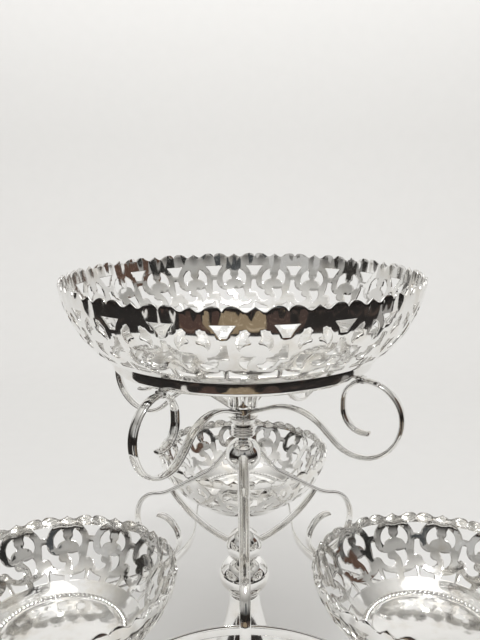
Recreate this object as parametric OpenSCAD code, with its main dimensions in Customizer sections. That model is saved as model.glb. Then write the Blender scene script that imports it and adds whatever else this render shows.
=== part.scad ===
// Epergne: a turned column on a trumpet foot carries one large pierced bowl on four
// scrolls, and three smaller pierced baskets on a trefoil frame held by three scroll arms.
// Millimetres, +Z up, origin on the table under the middle of the column.

/* [Top bowl] */
// Diameter over the tips of the bowl's rim
bowl_rim_d = 229; // [220:1:250]
// Height from the underside of the bowl's floor to the rim tips
bowl_h = 45.5; // [42:0.5:50]
// Diameter of the bowl's floor, outside
bowl_floor_d = 181; // [176:1:190]
// Outer diameter of the plain band under the bowl
bowl_band_d = 168; // [160:1:172]
// Height of that band
bowl_band_h = 10; // [8:0.5:12]
// Thickness of that band
bowl_band_t = 1.6; // [1.2:0.1:2.4]
// Number of times the pierced unit repeats round the bowl
bowl_units = 22; // [18:1:26]
// Turn of the pattern from the right-hand side
bowl_turn = 3; // [0:0.5:16]

/* [Baskets] */
// Diameter over the tips of a basket's rim
basket_rim_d = 144; // [138:1:150]
// Height from the underside of a basket's floor to its rim tips
basket_h = 42.5; // [38:0.5:47]
// Diameter of a basket's floor, outside
basket_floor_d = 80; // [77:1:86]
// Number of times the pierced unit repeats round a basket
basket_units = 13; // [11:1:15]
// Turn of a basket's pattern from the right-hand side
basket_turn = 1; // [0:1:27]
// Strip of the pattern's height that a basket's rim is cut short by
basket_trim = 2.5; // [0:0.5:4]
// Distance from the column's axis to a basket's axis
basket_reach = 129; // [125:1:140]
// Height of the foot ring under a basket
basket_foot_h = 5.5; // [4:0.5:6.5]
// Width of the metal of that foot ring
basket_foot_w = 3; // [2:0.5:4]
// Outer diameter of that foot ring
basket_foot_d = 73; // [70:0.5:76]

/* [Sheet metal] */
// Thickness of the bowls' sheet
sheet_t = 1.2; // [1:0.1:1.6]
// Angle at which the walls lean out at the rim
wall_lean = 6; // [3:1:9]
// Diameter of the bead pressed round the floors
bead_d = 2.4; // [1.6:0.2:3]

/* [Straps] */
// Width of the scrolls and arms
strap_w = 6.5; // [5:0.5:8]
// Thickness of the scrolls, arms and braces
strap_t = 3; // [2.4:0.1:3.4]
// Width of the braces
brace_w = 6; // [5:0.5:7]

/* [Upper scrolls] */
// Direction of the first scroll, seen from above
scroll_turn = 57; // [45:1:65]
// Slope at which a scroll leaves the hub
scroll_rise_a = 20; // [16:1:22]
// Straight length that leaves the hub
scroll_lead = 18; // [15:0.5:20]
// Radius over the shoulder
scroll_shoulder_r = 36; // [32:1:42]
// Slope at which the scroll falls from the shoulder
scroll_fall_a = 42; // [38:1:46]
// Straight length of the fall
scroll_fall_l = 11; // [8:0.5:14]
// Radius where the fall turns into the loop
scroll_heel_r = 24; // [20:1:28]
// Radius of the loop's lower outer quarter
scroll_outer_r = 26; // [24:0.5:28]
// Radius of the loop's upper outer quarter
scroll_top_r = 22; // [20:0.5:24]
// Radius of the loop's upper inner quarter
scroll_inner_r = 15; // [14:0.5:17]
// Straight length down the inside of the loop
scroll_drop = 3.5; // [2:0.5:5]
// Radius of the curl at the free end
scroll_curl_r = 14; // [12:0.5:15]
// Turn of that curl
scroll_curl_a = 100; // [80:5:110]
// Height of the lugs over the crest of the loops
lug_rise = 0.6; // [0.5:0.1:2]
// Length of a lug along its scroll
lug_l = 5; // [4:0.5:6]

/* [Lower arms] */
// Slope at which an arm leaves the upper ball
arm_fall_a = 52; // [48:1:56]
// Straight length from inside the ball
arm_lead = 22; // [20:0.5:25]
// Radius where the arm flattens
arm_bend_r = 30; // [26:1:36]
// Slope of the arm's long run
arm_run_a = 33; // [30:1:36]
// Length of that run
arm_run_l = 36; // [33:0.5:40]
// Radius where the run eases into the loop
arm_ease_r = 40; // [35:1:45]
// Slope at the start of the loop
arm_top_a = 12; // [8:1:16]
// Radius of the loop's upper outer part
arm_outer_r = 24; // [22:0.5:26]
// Radius of the loop's lower outer quarter
arm_base_r = 23.5; // [22:0.5:25]
// Radius of the loop's lower inner quarter
arm_heel_r = 14; // [12:0.5:16]
// Radius of the curl at the free end
arm_curl_r = 16; // [14:0.5:18]
// Turn of that curl
arm_curl_a = 95; // [80:5:110]
// Total bend of a brace
brace_bend = 42; // [36:1:48]

/* [Trefoil frame] */
// Height of the frame's strap, which stands on edge
frame_h = 7; // [6:0.5:8]
// Thickness of the frame's strap
frame_t = 1.8; // [1.4:0.1:2.2]
// Room between a basket's foot ring and the frame
foot_room = 1; // [0.6:0.1:1.5]
// Depth of the notch that seats an arm's loop in the frame
frame_notch = 0.6; // [0.4:0.1:0.8]

/* [Column] */
// Diameter of the knop
knop_d = 34.5; // [30:0.5:38]
// Height of the knop
knop_h = 20.5; // [18:0.5:23]
// Diameter of the lower ball
lower_ball_d = 24.5; // [23:0.5:27]
// Height of the lower ball between its flats
lower_ball_h = 22.5; // [20:0.5:22.5]
// Diameter of the stem
stem_d = 8.2; // [7:0.2:9]
// Length of the stem
stem_l = 44; // [41:1:47]
// Diameter of the upper ball
upper_ball_d = 23.5; // [22:0.5:26]
// Height of the upper ball between its flats
upper_ball_h = 21.5; // [19:0.5:21.5]
// Diameter of the neck above the upper ball
neck_d = 8; // [7:0.5:9]
// Height of that neck
neck_h = 3; // [2:0.5:4]
// Diameter of the ringed screw collar
collar_d = 16; // [14:0.5:18]
// Height of the ringed screw collar
collar_h = 7; // [6:0.5:9]
// Diameter of the saucer
saucer_d = 20; // [18:0.5:22]
// Height of the saucer
saucer_h = 7; // [6:0.5:8]
// Diameter of the hub that the scrolls join
hub_d = 12.5; // [12:0.5:14]
// Height of that hub
hub_h = 6.5; // [6:0.5:8]
// Diameter of the calyx where it stands on the hub
calyx_base_d = 20; // [16:0.5:21]
// Diameter of the calyx under the bowl
calyx_top_d = 66; // [56:1:72]
// Diameter of the tie rod
rod_d = 5; // [4:0.5:5.5]

/* [Foot] */
// Diameter of the foot
foot_d = 165; // [155:1:180]
// Height of the foot up to its collar
foot_h = 95; // [88:1:102]
// Diameter of the trumpet at its top
trumpet_top_d = 21; // [19:0.5:23]
// Diameter of the trumpet where it meets the dome
trumpet_base_d = 60; // [54:1:66]
// Height of the dome's crown above the base plate
dome_h = 32; // [28:1:36]
// Height of the collar on top of the foot
foot_collar_h = 3.5; // [3:0.5:5]
// Thickness of the base plate
plate_t = 2; // [1.5:0.5:3]
// Thickness of the loading disc inside the foot
weight_h = 10; // [8:1:11]

/* [Fits] */
// Gap between faces that lift apart
seat_gap = 0.05; // [0.02:0.01:0.1]
// Gap all round the tie rod and the loading disc
rod_gap = 0.15; // [0.1:0.05:0.25]
// Gap all round the bowl's spigot
spigot_gap = 0.05; // [0.03:0.01:0.08]
// Diameter of the bowl's spigot
spigot_d = 6; // [5:0.5:7]
// Length of the bowl's socket
socket_l = 14; // [11:1:17]

/* [Hidden] */
$fn = 96;
SCROLLS = 4;
ARMS = 3;
BASKETS = 3;
far = 500;
silver = [0.86, 0.86, 0.87];
dull = [0.55, 0.55, 0.56];

function node_names(stem, count) = [for (i = [1:count]) str(stem, "_", i)];

// Directions, seen from above
function scroll_a(i) = scroll_turn + 90 * (i - 1);
function arm_a(i) = 30 + 120 * (i - 1);
function basket_a(i) = 90 + 120 * (i - 1);

// Heights of the column's pieces, stacked from the table
foot_z = plate_t;
foot_collar_z = foot_z + foot_h;
knop_z = foot_collar_z + foot_collar_h;
lower_ball_z = knop_z + knop_h;
stem_z = lower_ball_z + lower_ball_h;
upper_ball_z = stem_z + stem_l;
neck_z = upper_ball_z + upper_ball_h;
collar_z = neck_z + neck_h;
saucer_z = collar_z + collar_h;
hub_z = saucer_z + saucer_h;
calyx_z = hub_z + hub_h;
lower_ball_c = lower_ball_z + lower_ball_h / 2;
upper_ball_c = upper_ball_z + upper_ball_h / 2;

// A strap's path is a start [r, z, heading] and a list of steps, ["line", length] or
// ["arc", radius, turn], where a positive turn is to the left
function left_of(h) = [-sin(h), cos(h)];
function arc_centre(p, s) = [p[0], p[1]] + s[1] * sign(s[2]) * left_of(p[2]);
function step_on(p, s) = s[0] == "line"
    ? [p[0] + s[1] * cos(p[2]), p[1] + s[1] * sin(p[2]), p[2]]
    : let (c = arc_centre(p, s), e = c - s[1] * sign(s[2]) * left_of(p[2] + s[2]))
        [e[0], e[1], p[2] + s[2]];
function walk(p, steps, n) = n == 0 ? p : step_on(walk(p, steps, n - 1), steps[n - 1]);
facet = 7.5;
function sample(p, s) = s[0] == "line" ? [p] : let (n = ceil(abs(s[2]) / facet))
    [for (i = [0:n - 1]) step_on(p, [s[0], s[1], s[2] * i / n])];
function trace(start, steps) = concat(
    [for (n = [0:len(steps) - 1]) for (q = sample(walk(start, steps, n), steps[n])) q],
    [walk(start, steps, len(steps))]);
function beside(path, d) = [for (p = path) [p[0], p[1]] + d * left_of(p[2])];
function open_end(path) = [for (i = [0:len(path) - 2]) path[i]];
function backward(list) = [for (i = [len(list) - 1:-1:0]) list[i]];

// Upper scrolls: root in the hub, shoulder, fall, loop and curl
scroll_root = 1;
scroll_low = 0.4;
scroll_start = [hub_d / 2 - scroll_root, hub_z + hub_h / 2 - scroll_low, scroll_rise_a];
scroll_steps = [
    ["line", scroll_lead],
    ["arc", scroll_shoulder_r, -scroll_rise_a - scroll_fall_a],
    ["line", scroll_fall_l],
    ["arc", scroll_heel_r, scroll_fall_a],
    ["arc", scroll_outer_r, 90],
    ["arc", scroll_top_r, 90],
    ["arc", scroll_inner_r, 90],
    ["line", scroll_drop],
    ["arc", scroll_curl_r, scroll_curl_a]];
scroll_crest = walk(scroll_start, scroll_steps, 6);
loop_c = arc_centre(scroll_crest, scroll_steps[6]);
lug_r = bowl_band_d / 2 - bowl_band_t / 2;
band_z = scroll_crest[1] + strap_t / 2 + lug_rise + seat_gap;
bowl_z = band_z + bowl_band_h;
calyx_h = bowl_z - seat_gap - calyx_z;

// Lower arms: root in the ball, lead, run, loop and curl
arm_root = 3.5;
arm_high = 5;
arm_start = [upper_ball_d / 2 - arm_root, upper_ball_c + arm_high, -arm_fall_a];
arm_steps = [
    ["line", arm_lead],
    ["arc", arm_bend_r, arm_fall_a - arm_run_a],
    ["line", arm_run_l],
    ["arc", arm_ease_r, arm_run_a - arm_top_a],
    ["arc", arm_outer_r, arm_top_a - 90],
    ["arc", arm_base_r, -90],
    ["arc", arm_heel_r, -90],
    ["arc", arm_curl_r, -arm_curl_a]];
arm_heel_c = arc_centre(walk(arm_start, arm_steps, 6), arm_steps[6]);
arm_heel_out = arm_heel_r + strap_t / 2;

// The loop's lower inner quarter seats on the frame's upper outer edge, at 45 degrees
frame_top = arm_heel_c[1] - arm_heel_out * sin(45);
frame_near = arm_heel_c[0] - arm_heel_out * cos(45) + frame_notch - frame_t / 2;
basket_z = frame_top + seat_gap;

// Braces: an arc from inside the lower ball to the arm's easing
brace_root = 2;
brace_from = [lower_ball_d / 2 - brace_root, lower_ball_c];
brace_to = walk(arm_start, arm_steps, 3);
brace_chord = [brace_to[0] - brace_from[0], brace_to[1] - brace_from[1]];
brace_r = norm(brace_chord) / 2 / sin(brace_bend / 2);
brace_start = [brace_from[0], brace_from[1], atan2(brace_chord[1], brace_chord[0]) - brace_bend / 2];

// Trefoil frame: a lobe round each foot ring, and a hollow arc past each arm
lobe_r = basket_foot_d / 2 + foot_room + frame_t / 2;
hollow_c = (frame_near - lobe_r) / (1 - sin(60));
hollow_r = hollow_c - frame_near;
side_x = hollow_c * cos(60);

// The saw-pierced unit: its width, and the corners of its holes across it and down from the rim
unit_w = 32.5;
unit_holes = [
    [[-6.6, 10.2], [6.6, 10.2], [2.1, 17.2], [-2.1, 17.2]],
    [[13, 13], [6.4, 19], [8.6, 24.6]],
    [[-13, 13], [-8.6, 24.6], [-6.4, 19]],
    [[-1.6, 21.6], [1.8, 21.6], [13.6, 36.4], [2.4, 36]]];

// Foot profile: a moulded edge in two steps, a dome and a trumpet
edge_w = 4.5;
edge_h = 8;
edge_step = 2;
dome_in = 6;
weight_in = 12.5;
shell_t = 1.6;
shell_lean = 0.8;
shell_cap = 4;
reed_d = 5;
trumpet_flare = 1.5;
edge_r = foot_d / 2 - edge_w;
dome_r = foot_d / 2 - dome_in;
weight_r = foot_d / 2 - weight_in;
edge_z = foot_z + edge_h;
crown_z = foot_z + dome_h;
neck_r = trumpet_base_d / 2;
function trumpet_r(z) = trumpet_top_d / 2
    + (neck_r - trumpet_top_d / 2) * pow((foot_collar_z - z) / (foot_collar_z - crown_z), trumpet_flare);
function dome_z(r) = edge_z + (crown_z - edge_z) * (1 - pow((r - neck_r) / (dome_r - neck_r), 2));

// Calyx profile
calyx_t = 1.6;
calyx_flare = 1.7;
function calyx_r(u) = calyx_base_d / 2 + (calyx_top_d - calyx_base_d) / 2 * pow(u, calyx_flare);

// Shapes that repeat

module ring(z, h, outer_r, inner_r) {
    translate([0, 0, z]) difference() {
        cylinder(h = h, r = outer_r);
        translate([0, 0, -1]) cylinder(h = h + 2, r = inner_r);
    }
}

module rod_bore() {
    cylinder(h = far, d = rod_d + 2 * rod_gap);
}

// A strap stands on its path's plane, half of its thickness to each side of the path
module strap(start, steps, w) {
    path = trace(start, steps);
    rotate([90, 0, 0]) linear_extrude(w, center = true)
        polygon(concat(beside(path, strap_t / 2), backward(beside(path, -strap_t / 2))));
}

module ball(d, h, z) {
    difference() {
        translate([0, 0, z + h / 2]) intersection() {
            sphere(d = d);
            cube([d + 1, d + 1, h], center = true);
        }
        rod_bore();
    }
}

// The wall of a dish is one arc, from its lean at the rim to where it meets the flat floor
function dish_turn(rim_r, h, floor_r) = 2 * atan2(rim_r - floor_r, h) - wall_lean;
function dish_curve(rim_r, h, floor_r) = h / (sin(dish_turn(rim_r, h, floor_r)) - sin(wall_lean));

// Half section of a dish with no hollow, set back by inset from its outside
module dish_half(rim_r, h, floor_r, inset) {
    curve_r = dish_curve(rim_r, h, floor_r);
    centre_r = rim_r - curve_r * cos(wall_lean);
    intersection() {
        union() {
            square([max(centre_r, inset), h + inset]);
            translate([centre_r, h + curve_r * sin(wall_lean)]) circle(curve_r - inset);
        }
        translate([0, inset]) square([rim_r, h]);
    }
}

// A place on a wall, from its share of the turn across and its distance down the wall
function on_wall(rim_r, h, floor_r, across, down) =
    let (curve_r = dish_curve(rim_r, h, floor_r), turn = wall_lean + down / curve_r * 180 / PI,
         r = rim_r - curve_r * (cos(wall_lean) - cos(turn)))
    [r * 2 * PI * across, h - curve_r * (sin(turn) - sin(wall_lean))];

// One unit of the pattern, cut through the wall towards the middle of the dish
module pierced_unit(rim_r, h, floor_r, units, trim) {
    rotate([90, 0, 90]) translate([0, 0, floor_r / 2]) linear_extrude(rim_r) for (hole = unit_holes)
        polygon([for (p = hole) on_wall(rim_r, h, floor_r, p[0] / unit_w / units, p[1] - trim)]);
}

module dish(rim_d, h, floor_d, units, trim, turn) {
    difference() {
        rotate_extrude() difference() {
            dish_half(rim_d / 2, h, floor_d / 2, 0);
            dish_half(rim_d / 2, h, floor_d / 2, sheet_t);
        }
        for (i = [1:units]) rotate([0, 0, turn + 360 / units * i])
            pierced_unit(rim_d / 2, h, floor_d / 2, units, trim);
    }
    rotate_extrude() translate([floor_d / 2 - bead_d / 2, sheet_t + bead_d / 10]) circle(d = bead_d);
}

// Column

module base_plate() {
    inset = 2.5;
    color(dull) cylinder(h = plate_t, d = foot_d - 2 * inset);
}

module base_weight() {
    nut_room = 12;
    color("dimgray") difference() {
        translate([0, 0, foot_z]) cylinder(h = weight_h, r = weight_r - rod_gap);
        translate([0, 0, foot_z - 1]) cylinder(h = nut_h + 2, d = nut_d + nut_room);
        rod_bore();
    }
}

module foot() {
    steps = 12;
    trumpet = [for (i = [0:steps]) let (z = foot_collar_z - (foot_collar_z - crown_z) * i / steps)
        [trumpet_r(z), z]];
    dome = [for (i = [1:steps]) let (r = neck_r + (dome_r - neck_r) * i / steps) [r, dome_z(r)]];
    edge = [[edge_r, edge_z], [edge_r, edge_z - edge_step], [foot_d / 2, edge_z - 2 * edge_step],
        [foot_d / 2, foot_z]];
    ledge_z = foot_z + weight_h;
    color(silver) difference() {
        union() {
            rotate_extrude() polygon(concat([[0, foot_z], [0, foot_collar_z]], trumpet, dome, edge));
            translate([0, 0, crown_z]) rotate_extrude() translate([neck_r, 0]) circle(d = reed_d);
        }
        translate([0, 0, foot_z - 1]) cylinder(h = weight_h + 1, r = weight_r);
        rotate_extrude() polygon(concat([[0, ledge_z - 1], [0, foot_collar_z - shell_cap]],
            [for (p = trumpet) if (p[1] < foot_collar_z - shell_cap)
                [p[0] - shell_t - shell_lean, p[1] - shell_t]],
            [for (p = dome) if (p[1] - shell_t > ledge_z && p[0] < weight_r - shell_cap)
                [p[0] - shell_t, p[1] - shell_t]],
            [[weight_r - dome_in, ledge_z - 1]]));
        rod_bore();
    }
}

module foot_collar() {
    round_r = trumpet_top_d / 2 - 1.5;
    color(silver) difference() {
        translate([0, 0, foot_collar_z]) {
            cylinder(h = foot_collar_h, r = round_r);
            translate([0, 0, foot_collar_h / 2]) rotate_extrude()
                translate([round_r, 0]) circle(d = foot_collar_h);
        }
        rod_bore();
    }
}

// The flattened knop is a turned bulge with a flat top and bottom
module knop() {
    roundness = 0.6;
    bulge_r = knop_h * roundness;
    flat_r = knop_d / 2 - bulge_r;
    color(silver) difference() {
        translate([0, 0, knop_z + knop_h / 2]) rotate_extrude() {
            translate([0, -knop_h / 2]) square([flat_r, knop_h]);
            intersection() {
                translate([flat_r, 0]) circle(bulge_r);
                translate([flat_r, -knop_h / 2]) square([bulge_r, knop_h]);
            }
        }
        rod_bore();
    }
}

module lower_ball() {
    color(silver) ball(lower_ball_d, lower_ball_h, lower_ball_z);
}

module stem_tube() {
    color(silver) ring(stem_z, stem_l, stem_d / 2, rod_d / 2 + rod_gap);
}

module upper_ball() {
    color(silver) ball(upper_ball_d, upper_ball_h, upper_ball_z);
}

module neck_spool() {
    color(silver) ring(neck_z, neck_h, neck_d / 2, rod_d / 2 + rod_gap);
}

// Three reeds with grooves between, which grip the fingers when the column is unscrewed
module screw_collar() {
    reeds = 3;
    reed_h = collar_h / reeds;
    color(silver) difference() {
        translate([0, 0, collar_z]) {
            cylinder(h = collar_h, d = collar_d - reed_h);
            for (i = [0:reeds - 1]) translate([0, 0, reed_h * (i + 0.5)]) rotate_extrude()
                translate([collar_d / 2 - reed_h / 2, 0]) circle(d = reed_h);
        }
        rod_bore();
    }
}

module saucer() {
    foot_r = collar_d / 2 - 2.5;
    curve_r = saucer_d / 2 - foot_r;
    cup_h = 0.6 * saucer_h;
    lip_h = 0.15 * saucer_h;
    color(silver) difference() {
        translate([0, 0, saucer_z]) rotate_extrude() {
            square([foot_r, saucer_h]);
            translate([foot_r, 0]) intersection() {
                translate([0, cup_h]) circle(curve_r);
                square([curve_r, cup_h]);
            }
            translate([0, cup_h]) square([saucer_d / 2, lip_h]);
        }
        rod_bore();
    }
}

module scroll_hub() {
    color(silver) ring(hub_z, hub_h, hub_d / 2, rod_d / 2 + rod_gap);
}

module calyx() {
    steps = 10;
    wall = [for (i = [0:steps]) let (u = i / steps) [calyx_r(u), calyx_z + calyx_h * u]];
    color(silver) difference() {
        rotate_extrude() polygon(concat([[0, calyx_z]], wall, [[0, calyx_z + calyx_h]]));
        translate([0, 0, calyx_t]) rotate_extrude() polygon(concat([[0, calyx_z]],
            [for (p = wall) [p[0] - calyx_t, p[1]]], [[0, calyx_z + calyx_h]]));
        rod_bore();
    }
}

// Inside the column

nut_d = 12;
nut_h = 5;
spigot_nut_h = 7;
spigot_nut_d = 12;
spigot_clear = 2;
socket_t = 2.5;
spigot_z = calyx_z + calyx_t;
rod_top = spigot_z + spigot_nut_h - 1;

module tie_rod() {
    color(dull) translate([0, 0, foot_z + 1]) cylinder(h = rod_top - foot_z - 1, d = rod_d);
}

module tie_nut() {
    color(dull) difference() {
        translate([0, 0, foot_z + 1]) cylinder(h = nut_h, d = nut_d, $fn = 6);
        translate([0, 0, foot_z]) cylinder(h = nut_h + 2, d = rod_d);
    }
}

// The nut that clamps the column ends in a plain pin for the bowl's socket
module bowl_spigot() {
    color(dull) difference() {
        translate([0, 0, spigot_z]) {
            cylinder(h = spigot_nut_h, d = spigot_nut_d);
            cylinder(h = bowl_z - spigot_clear - spigot_z, d = spigot_d);
        }
        translate([0, 0, spigot_z - 1]) cylinder(h = rod_top - spigot_z + 1, d = rod_d);
    }
}

// Straps

module scroll(i) {
    color(silver) rotate([0, 0, scroll_a(i)]) difference() {
        strap(scroll_start, scroll_steps, strap_w);
        cylinder(h = far, d = hub_d);
    }
}

module bowl_lug(i) {
    lug_w = strap_w - 1;
    color(silver) rotate([0, 0, scroll_a(i)]) difference() {
        translate([lug_r - lug_l / 2, -lug_w / 2, loop_c[1]])
            cube([lug_l, lug_w, band_z - seat_gap - loop_c[1]]);
        strap(scroll_start, scroll_steps, strap_w);
        translate([loop_c[0], 0, loop_c[1]]) rotate([90, 0, 0])
            cylinder(h = strap_w, r = scroll_inner_r, center = true);
    }
}

module arm(i) {
    color(silver) rotate([0, 0, arm_a(i)]) difference() {
        strap(arm_start, arm_steps, strap_w);
        translate([0, 0, upper_ball_c]) sphere(d = upper_ball_d);
    }
}

module brace(i) {
    color(silver) rotate([0, 0, arm_a(i)]) difference() {
        strap(brace_start, [["arc", brace_r, brace_bend]], brace_w);
        translate([0, 0, lower_ball_c]) sphere(d = lower_ball_d);
        strap(arm_start, arm_steps, strap_w);
    }
}

// The frame's strap runs round a lobe, along its side and past the next arm, three times
module basket_frame() {
    third = [
        ["line", basket_reach - side_x],
        ["arc", lobe_r, 180],
        ["line", basket_reach - side_x],
        ["arc", hollow_r, -60]];
    steps = [for (i = [1:BASKETS]) for (s = third) s];
    path = open_end(trace([side_x, -lobe_r, 0], steps));
    color(silver) difference() {
        translate([0, 0, frame_top - frame_h]) rotate([0, 0, basket_a(1)]) linear_extrude(frame_h)
            difference() {
                polygon(beside(path, -frame_t / 2));
                polygon(beside(path, frame_t / 2));
            }
        for (i = [1:ARMS]) rotate([0, 0, arm_a(i)]) strap(arm_start, arm_steps, strap_w);
    }
}

// Bowls

module top_bowl() {
    color(silver) translate([0, 0, bowl_z])
        dish(bowl_rim_d, bowl_h, bowl_floor_d, bowl_units, 0, bowl_turn);
}

// The band that the bowl stands on, which rests on the four lugs
module bowl_band() {
    color(silver) ring(band_z, bowl_band_h, bowl_band_d / 2, bowl_band_d / 2 - bowl_band_t);
}

module bowl_socket() {
    color(silver) ring(bowl_z - socket_l, socket_l, spigot_d / 2 + socket_t, spigot_d / 2 + spigot_gap);
}

module at_basket(i) {
    rotate([0, 0, basket_a(i)]) translate([basket_reach, 0, basket_z])
        rotate([0, 0, -basket_a(i)]) children();
}

module basket(i) {
    color(silver) at_basket(i)
        dish(basket_rim_d, basket_h, basket_floor_d, basket_units, basket_trim, basket_turn);
}

module basket_foot(i) {
    color(silver) at_basket(i)
        ring(-basket_foot_h, basket_foot_h, basket_foot_d / 2, basket_foot_d / 2 - basket_foot_w);
}

base_plate();
base_weight();
foot();
foot_collar();
knop();
lower_ball();
stem_tube();
upper_ball();
neck_spool();
screw_collar();
saucer();
scroll_hub();
calyx();
tie_rod();
tie_nut();
bowl_spigot();
for (i = [1:SCROLLS]) scroll(i);
for (i = [1:SCROLLS]) bowl_lug(i);
for (i = [1:ARMS]) arm(i);
for (i = [1:ARMS]) brace(i);
basket_frame();
top_bowl();
bowl_band();
bowl_socket();
for (i = [1:BASKETS]) basket(i);
for (i = [1:BASKETS]) basket_foot(i);
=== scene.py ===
# %% [markdown]
# # A silver-plated epergne with a pierced bowl and three pierced baskets
# An epergne is a table centrepiece. This one has a trumpet foot, a turned column, four scrolls that
# carry the bowl, and three scroll arms that carry a frame of strap with a basket in each lobe.
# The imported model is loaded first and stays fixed: every piece below is drawn over it, in metres,
# in the same frame. The sizes of the silver are in millimetres, and MM turns them into metres. The
# camera, the paper, the cards and the lamps are placed in metres.

# %% The frame
import math
import bpy
from mathutils import Matrix, Vector


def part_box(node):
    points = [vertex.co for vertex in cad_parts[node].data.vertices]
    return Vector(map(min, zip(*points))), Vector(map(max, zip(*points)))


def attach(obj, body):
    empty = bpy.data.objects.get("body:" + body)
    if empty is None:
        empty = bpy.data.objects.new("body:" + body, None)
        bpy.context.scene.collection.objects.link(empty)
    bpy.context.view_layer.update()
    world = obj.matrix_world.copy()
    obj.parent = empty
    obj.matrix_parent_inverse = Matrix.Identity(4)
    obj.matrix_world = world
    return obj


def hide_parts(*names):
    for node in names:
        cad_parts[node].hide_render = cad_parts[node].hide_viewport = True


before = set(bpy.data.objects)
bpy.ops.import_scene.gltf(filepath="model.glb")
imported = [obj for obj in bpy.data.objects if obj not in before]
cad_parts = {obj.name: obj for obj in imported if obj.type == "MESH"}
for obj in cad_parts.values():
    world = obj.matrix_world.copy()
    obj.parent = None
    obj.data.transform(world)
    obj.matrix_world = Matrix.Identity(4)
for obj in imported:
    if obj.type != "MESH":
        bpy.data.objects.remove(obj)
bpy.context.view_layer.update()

MM = 0.001

# %% [markdown]
# ## The camera
# The photograph looks a little downwards from close by, so the camera stands half a metre in front of
# the column, a little above the bowl's rim, with a moderately wide lens.

# %% Camera
LENS = 40.57
SENSOR = 36
CAMERA_PLACE = (-0.0015, -0.4527, 0.3841)
CAMERA_TILT = 78.21
CAMERA_ROLL = -0.49

camera = bpy.data.objects.new("camera", bpy.data.cameras.new("camera"))
bpy.context.scene.collection.objects.link(camera)
camera.data.lens = LENS
camera.data.sensor_width = SENSOR
camera.data.clip_start = 0.01
tilt = Matrix.Rotation(math.radians(CAMERA_TILT), 4, "X")
roll = Matrix.Rotation(math.radians(CAMERA_ROLL), 4, "Z")
camera.matrix_world = Matrix.Translation(CAMERA_PLACE) @ tilt @ roll
bpy.context.scene.camera = camera
print("camera at", [round(value, 3) for value in camera.location])

# %% [markdown]
# ## Shader maths
# A finish is a sum of small effects, so it reads best as an expression. This class wraps one socket:
# the operators add Math nodes, and each method hands the socket on to one more node.

# %% Shader class
class Wire:
    """A socket of a node tree, with operators and methods that add nodes behind it."""

    def __init__(self, tree, socket=None):
        self.tree = tree
        self.socket = socket

    def node(self, kind, sockets, output=0, **settings):
        """A new node with its settings. Each of its sockets takes a wire or a constant."""
        made = self.tree.nodes.new(kind)
        for name, setting in settings.items():
            setattr(made, name, setting)
        for name, value in sockets.items():
            if isinstance(value, Wire):
                self.tree.links.new(value.socket, made.inputs[name])
            else:
                made.inputs[name].default_value = value
        return Wire(self.tree, made.outputs[output])

    def feed(self, shader, name):
        self.tree.links.new(self.socket, shader.inputs[name])

    def __add__(self, other):
        return self.node("ShaderNodeMath", {0: self, 1: other}, operation="ADD")

    __radd__ = __add__

    def __mul__(self, other):
        return self.node("ShaderNodeMath", {0: self, 1: other}, operation="MULTIPLY")

    def noise(self, scale, detail, roughness=0.5):
        sockets = {"Vector": self, "Scale": scale, "Detail": detail, "Roughness": roughness}
        return self.node("ShaderNodeTexNoise", sockets)

    def ramp(self, low, high):
        """Black up to one value and white from another."""
        made = self.node("ShaderNodeValToRGB", {"Fac": self})
        stops = made.socket.node.color_ramp.elements
        stops[0].position = low
        stops[1].position = high
        return made

    def span(self, low, high):
        """From 0 at one value to 1 at another."""
        return self.node("ShaderNodeMapRange", {"Value": self, "From Min": low, "From Max": high})

    def mix(self, first, second):
        """The first colour at 0 and the second at 1."""
        return self.node("ShaderNodeMix", {"Factor": self, 6: first, 7: second}, 2, data_type="RGBA")

    def bump(self, strength, distance, normal=None):
        sockets = {"Strength": strength, "Distance": distance, "Height": self}
        if normal is not None:
            sockets["Normal"] = normal
        return self.node("ShaderNodeBump", sockets)


def new_finish(name, metallic):
    """A material with its shader, and a wire of the Object coordinates to start expressions from."""
    finish = bpy.data.materials.new(name)
    finish.use_nodes = True
    shader = finish.node_tree.nodes["Principled BSDF"]
    shader.inputs["Metallic"].default_value = metallic
    place = Wire(finish.node_tree).node("ShaderNodeTexCoord", {}, "Object")
    return finish, shader, place


print("shader class ready")

# %% [markdown]
# ## Finishes
# Old silver plate is bright but never perfect: slow waves from the spinning and hammering bend the
# reflections, fine rubbing marks blur them, and a warm haze of tarnish stays where the cloth doesn't
# reach. The waves and marks are Bump, the haze is colour and roughness, and all of it reads Object
# coordinates so that it stays on the metal.

# %% Silver plate
BRIGHT = (0.93, 0.925, 0.91, 1)
TARNISH = (0.66, 0.59, 0.47, 1)
POLISH = 0.045
MARK_SCALE = 2200.0
MARK_DEPTH = 0.004
CLOUD_SCALE = 55.0


def silver_plate(name, wave_size, wave_depth, haze):
    """Silver plate: wave_size and wave_depth in mm, haze from 0 to 1."""
    finish, shader, place = new_finish(name, 1.0)
    waves = place.noise(1 / (wave_size * MM), 1.0)
    marks = place.noise(MARK_SCALE, 2.0)
    stain = place.noise(CLOUD_SCALE, 5.0, 0.6).ramp(0.5, 0.78)
    (stain * haze).mix(BRIGHT, TARNISH).feed(shader, "Base Color")
    (POLISH + marks * 0.05 + stain * (0.12 * haze)).feed(shader, "Roughness")
    swell = waves.bump(1.0, wave_depth * MM)
    marks.bump(0.5, MARK_DEPTH * MM, swell).feed(shader, "Normal")
    return finish


sheet_silver = silver_plate("sheet_silver", wave_size=8.0, wave_depth=0.11, haze=0.5)
strap_silver = silver_plate("strap_silver", wave_size=14.0, wave_depth=0.10, haze=0.4)
turned_silver = silver_plate("turned_silver", wave_size=16.0, wave_depth=0.08, haze=0.35)
foot_silver = silver_plate("foot_silver", wave_size=22.0, wave_depth=0.12, haze=0.4)
print("silver finishes: 4")

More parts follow.
